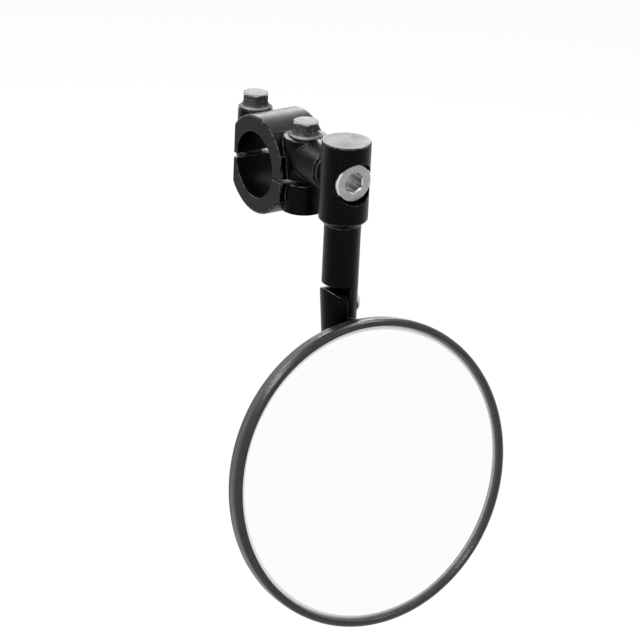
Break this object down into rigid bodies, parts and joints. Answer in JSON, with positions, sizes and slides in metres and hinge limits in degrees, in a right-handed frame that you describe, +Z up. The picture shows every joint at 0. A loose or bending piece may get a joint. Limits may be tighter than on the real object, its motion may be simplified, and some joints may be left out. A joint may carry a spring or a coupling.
{
  "type": "motorcycle mirror",
  "caption": "Round mirror with a rubber rim on a ball joint and a folding rod arm, hung from a split clamp that grips a tubular handlebar.",
  "frame": {"origin": "centre of the clamp's bore, on the handlebar's axis", "axes": "+X along the handlebar through the clamp, -Y towards the rider, where the glass faces, +Z up, the way the clamp bolts' heads point"},
  "size_m": [0.1028, 0.0963, 0.1579],
  "materials": {
    "black_anodised": "black anodised, satin",
    "plated_steel": "zinc plated, dull",
    "screw_steel": "plain steel, satin",
    "washer_plastic": "black, matt",
    "liner_plastic": "natural white, smooth",
    "housing_plastic": "black, fine grain",
    "foam_pad": "dark grey foam rubber",
    "mirror_glass": "silvered, polished",
    "rim_rubber": "black, fine grain"
  },
  "bodies": {
    "clamp": {"clamp_upper": "black_anodised", "clamp_lower": "black_anodised", "clamp_bolts": "plated_steel", "pivot_shim": "washer_plastic", "pivot_screw": "screw_steel", "pivot_spring": "plated_steel"},
    "upper_arm": {"upper_arm": "black_anodised"},
    "lower_arm": {"lower_arm": "black_anodised", "lap_screw": "screw_steel", "lap_washer": "washer_plastic", "ball_stud": "screw_steel", "stud_washer": "plated_steel", "stud_nut": "plated_steel"},
    "ball_cup": {"ball_liner": "liner_plastic"},
    "mirror_head": {"socket_retainer": "housing_plastic", "retainer_screws": "plated_steel", "mirror_housing": "housing_plastic", "backing_pad": "foam_pad", "mirror_glass": "mirror_glass", "rim_bezel": "rim_rubber"}
  },
  "joints": [
    {"name": "arm_swing", "type": "hinge", "parent": "clamp", "child": "upper_arm", "pos_m": [0, -0.0395, 0.0073], "axis": [0, -1, 0], "continuous": true},
    {"name": "arm_fold", "type": "hinge", "parent": "upper_arm", "child": "lower_arm", "pos_m": [0, -0.0395, -0.0364], "axis": [1, 0, 0], "range_deg": [-27, 103]},
    {"name": "mirror_tilt", "type": "hinge", "parent": "lower_arm", "child": "ball_cup", "pos_m": [0, -0.05514, -0.08873], "axis": [1, 0, 0], "range_deg": [-3, 17]},
    {"name": "mirror_pan", "type": "hinge", "parent": "ball_cup", "child": "mirror_head", "pos_m": [0, -0.05514, -0.08873], "axis": [0, 0.1891, 0.982], "range_deg": [-13, 16]}
  ]
}
